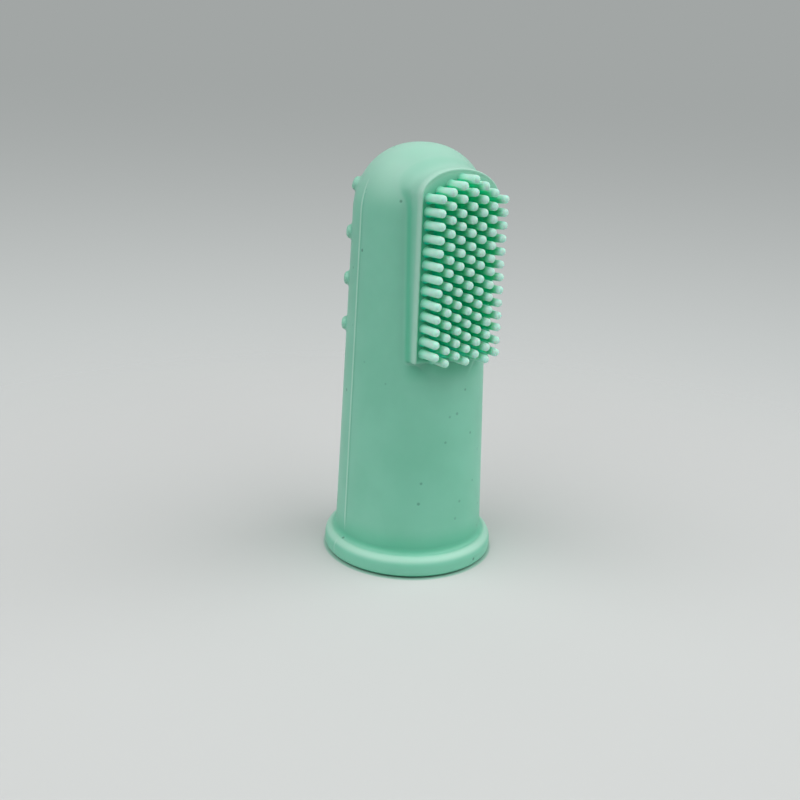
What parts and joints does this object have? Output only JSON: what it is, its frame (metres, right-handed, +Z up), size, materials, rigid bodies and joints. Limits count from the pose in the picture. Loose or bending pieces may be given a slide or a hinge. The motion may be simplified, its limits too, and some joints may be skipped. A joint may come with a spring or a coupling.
{
  "type": "finger toothbrush for pets",
  "caption": "Hollow tapered silicone thimble with a domed tip, a rounded rim, a raised arched pad of round-tipped bristles on the front and low massage nubs on the back.",
  "frame": {"origin": "on the floor, under the middle of the bounding box", "axes": "+Z up along the sleeve from the open rim to the domed tip; bristles point along -Y; +X to the right as seen from the bristles"},
  "size_m": [0.025, 0.0262, 0.0592],
  "materials": {
    "silicone": "satin mint green silicone rubber"
  },
  "bodies": {
    "root": {"finger_sleeve": "silicone", "base_rim": "silicone", "pad_lip": "silicone", "bristles_left": "silicone", "bristles_middle": "silicone", "bristles_right": "silicone", "massage_nub_left_1": "silicone", "massage_nub_left_2": "silicone", "massage_nub_left_3": "silicone", "massage_nub_left_4": "silicone", "massage_nub_middle_1": "silicone", "massage_nub_middle_2": "silicone", "massage_nub_middle_3": "silicone", "massage_nub_middle_4": "silicone", "massage_nub_right_1": "silicone", "massage_nub_right_2": "silicone", "massage_nub_right_3": "silicone", "massage_nub_right_4": "silicone", "parting_ridge_left": "silicone", "parting_ridge_right": "silicone"}
  },
  "joints": []
}
